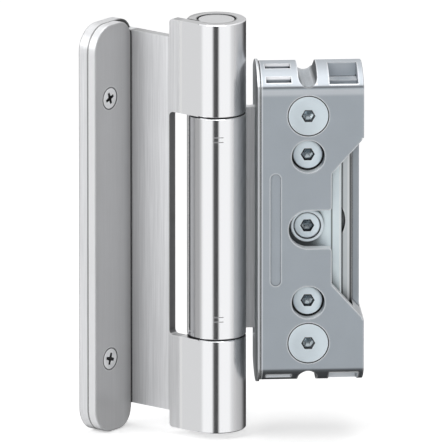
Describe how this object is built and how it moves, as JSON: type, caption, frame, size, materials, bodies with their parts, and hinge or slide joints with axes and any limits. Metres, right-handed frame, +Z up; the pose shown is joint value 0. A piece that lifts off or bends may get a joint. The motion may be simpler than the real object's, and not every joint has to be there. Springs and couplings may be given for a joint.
{
  "type": "lift-off door hinge",
  "caption": "Heavy door hinge with a rolled steel knuckle, a pin that pulls out upwards, a screwed door leaf and a frame receiver that adjusts in depth, height and side.",
  "frame": {"origin": "on the receiver's back face, midway between the two fixing studs", "axes": "+Z up along the hinge axis, +Y into the door frame along the studs, +X across the receiver, away from the knuckle"},
  "size_m": [0.1075, 0.039, 0.1622],
  "materials": {
    "leaf_steel": "satin brushed stainless steel",
    "pin_steel": "ground stainless steel",
    "screw_steel": "plain stainless steel",
    "slide_steel": "zinc-plated steel, light grey",
    "bright_zinc": "bright blue zinc plating",
    "receiver_zinc": "matt blue-grey zinc casting",
    "receiver_sheet": "matt blue-grey coated steel sheet",
    "bearing_plastic": "dark grey bearing plastic"
  },
  "bodies": {
    "receiver": {"receiver_housing": "receiver_zinc", "back_cover": "receiver_sheet", "face_plate": "receiver_sheet", "fixing_screw_top": "bright_zinc", "fixing_screw_bottom": "bright_zinc", "pressure_screw_top": "bright_zinc", "pressure_screw_bottom": "bright_zinc"},
    "pressure_carriage": {"pressure_carriage": "slide_steel", "clamp_plate": "bright_zinc", "clamp_washer": "bright_zinc", "clamp_screw": "bright_zinc"},
    "height_slide": {"height_slide": "slide_steel"},
    "frame_leaf": {"frame_leaf": "leaf_steel", "bush_middle_top": "bearing_plastic", "bush_middle_bottom": "bearing_plastic", "thrust_washer_top": "bearing_plastic", "thrust_washer_bottom": "bearing_plastic", "pin_set_screw": "screw_steel"},
    "door_leaf": {"door_leaf": "leaf_steel", "cover_plate": "leaf_steel", "cover_screw_top": "screw_steel", "cover_screw_bottom": "screw_steel", "bush_top": "bearing_plastic", "bush_bottom": "bearing_plastic", "knuckle_cap": "pin_steel"},
    "pin": {"hinge_pin": "pin_steel"}
  },
  "joints": [
    {"name": "pressure_adjust", "type": "slide", "parent": "receiver", "child": "pressure_carriage", "axis": [0, 1, 0], "range_m": [-0.002, 0.0014]},
    {"name": "height_adjust", "type": "slide", "parent": "pressure_carriage", "child": "height_slide", "axis": [0, 0, 1], "range_m": [-0.003, 0.003]},
    {"name": "side_adjust", "type": "slide", "parent": "height_slide", "child": "frame_leaf", "axis": [1, 0, 0], "range_m": [-0.003, 0.003]},
    {"name": "door_swing", "type": "hinge", "parent": "frame_leaf", "child": "door_leaf", "pos_m": [-0.0341, -0.0171, 0], "axis": [0, 0, 1], "range_deg": [-48.3, 131.7]},
    {"name": "pin_lift", "type": "slide", "parent": "frame_leaf", "child": "pin", "axis": [0, 0, 1], "range_m": [0, 0.165]}
  ]
}
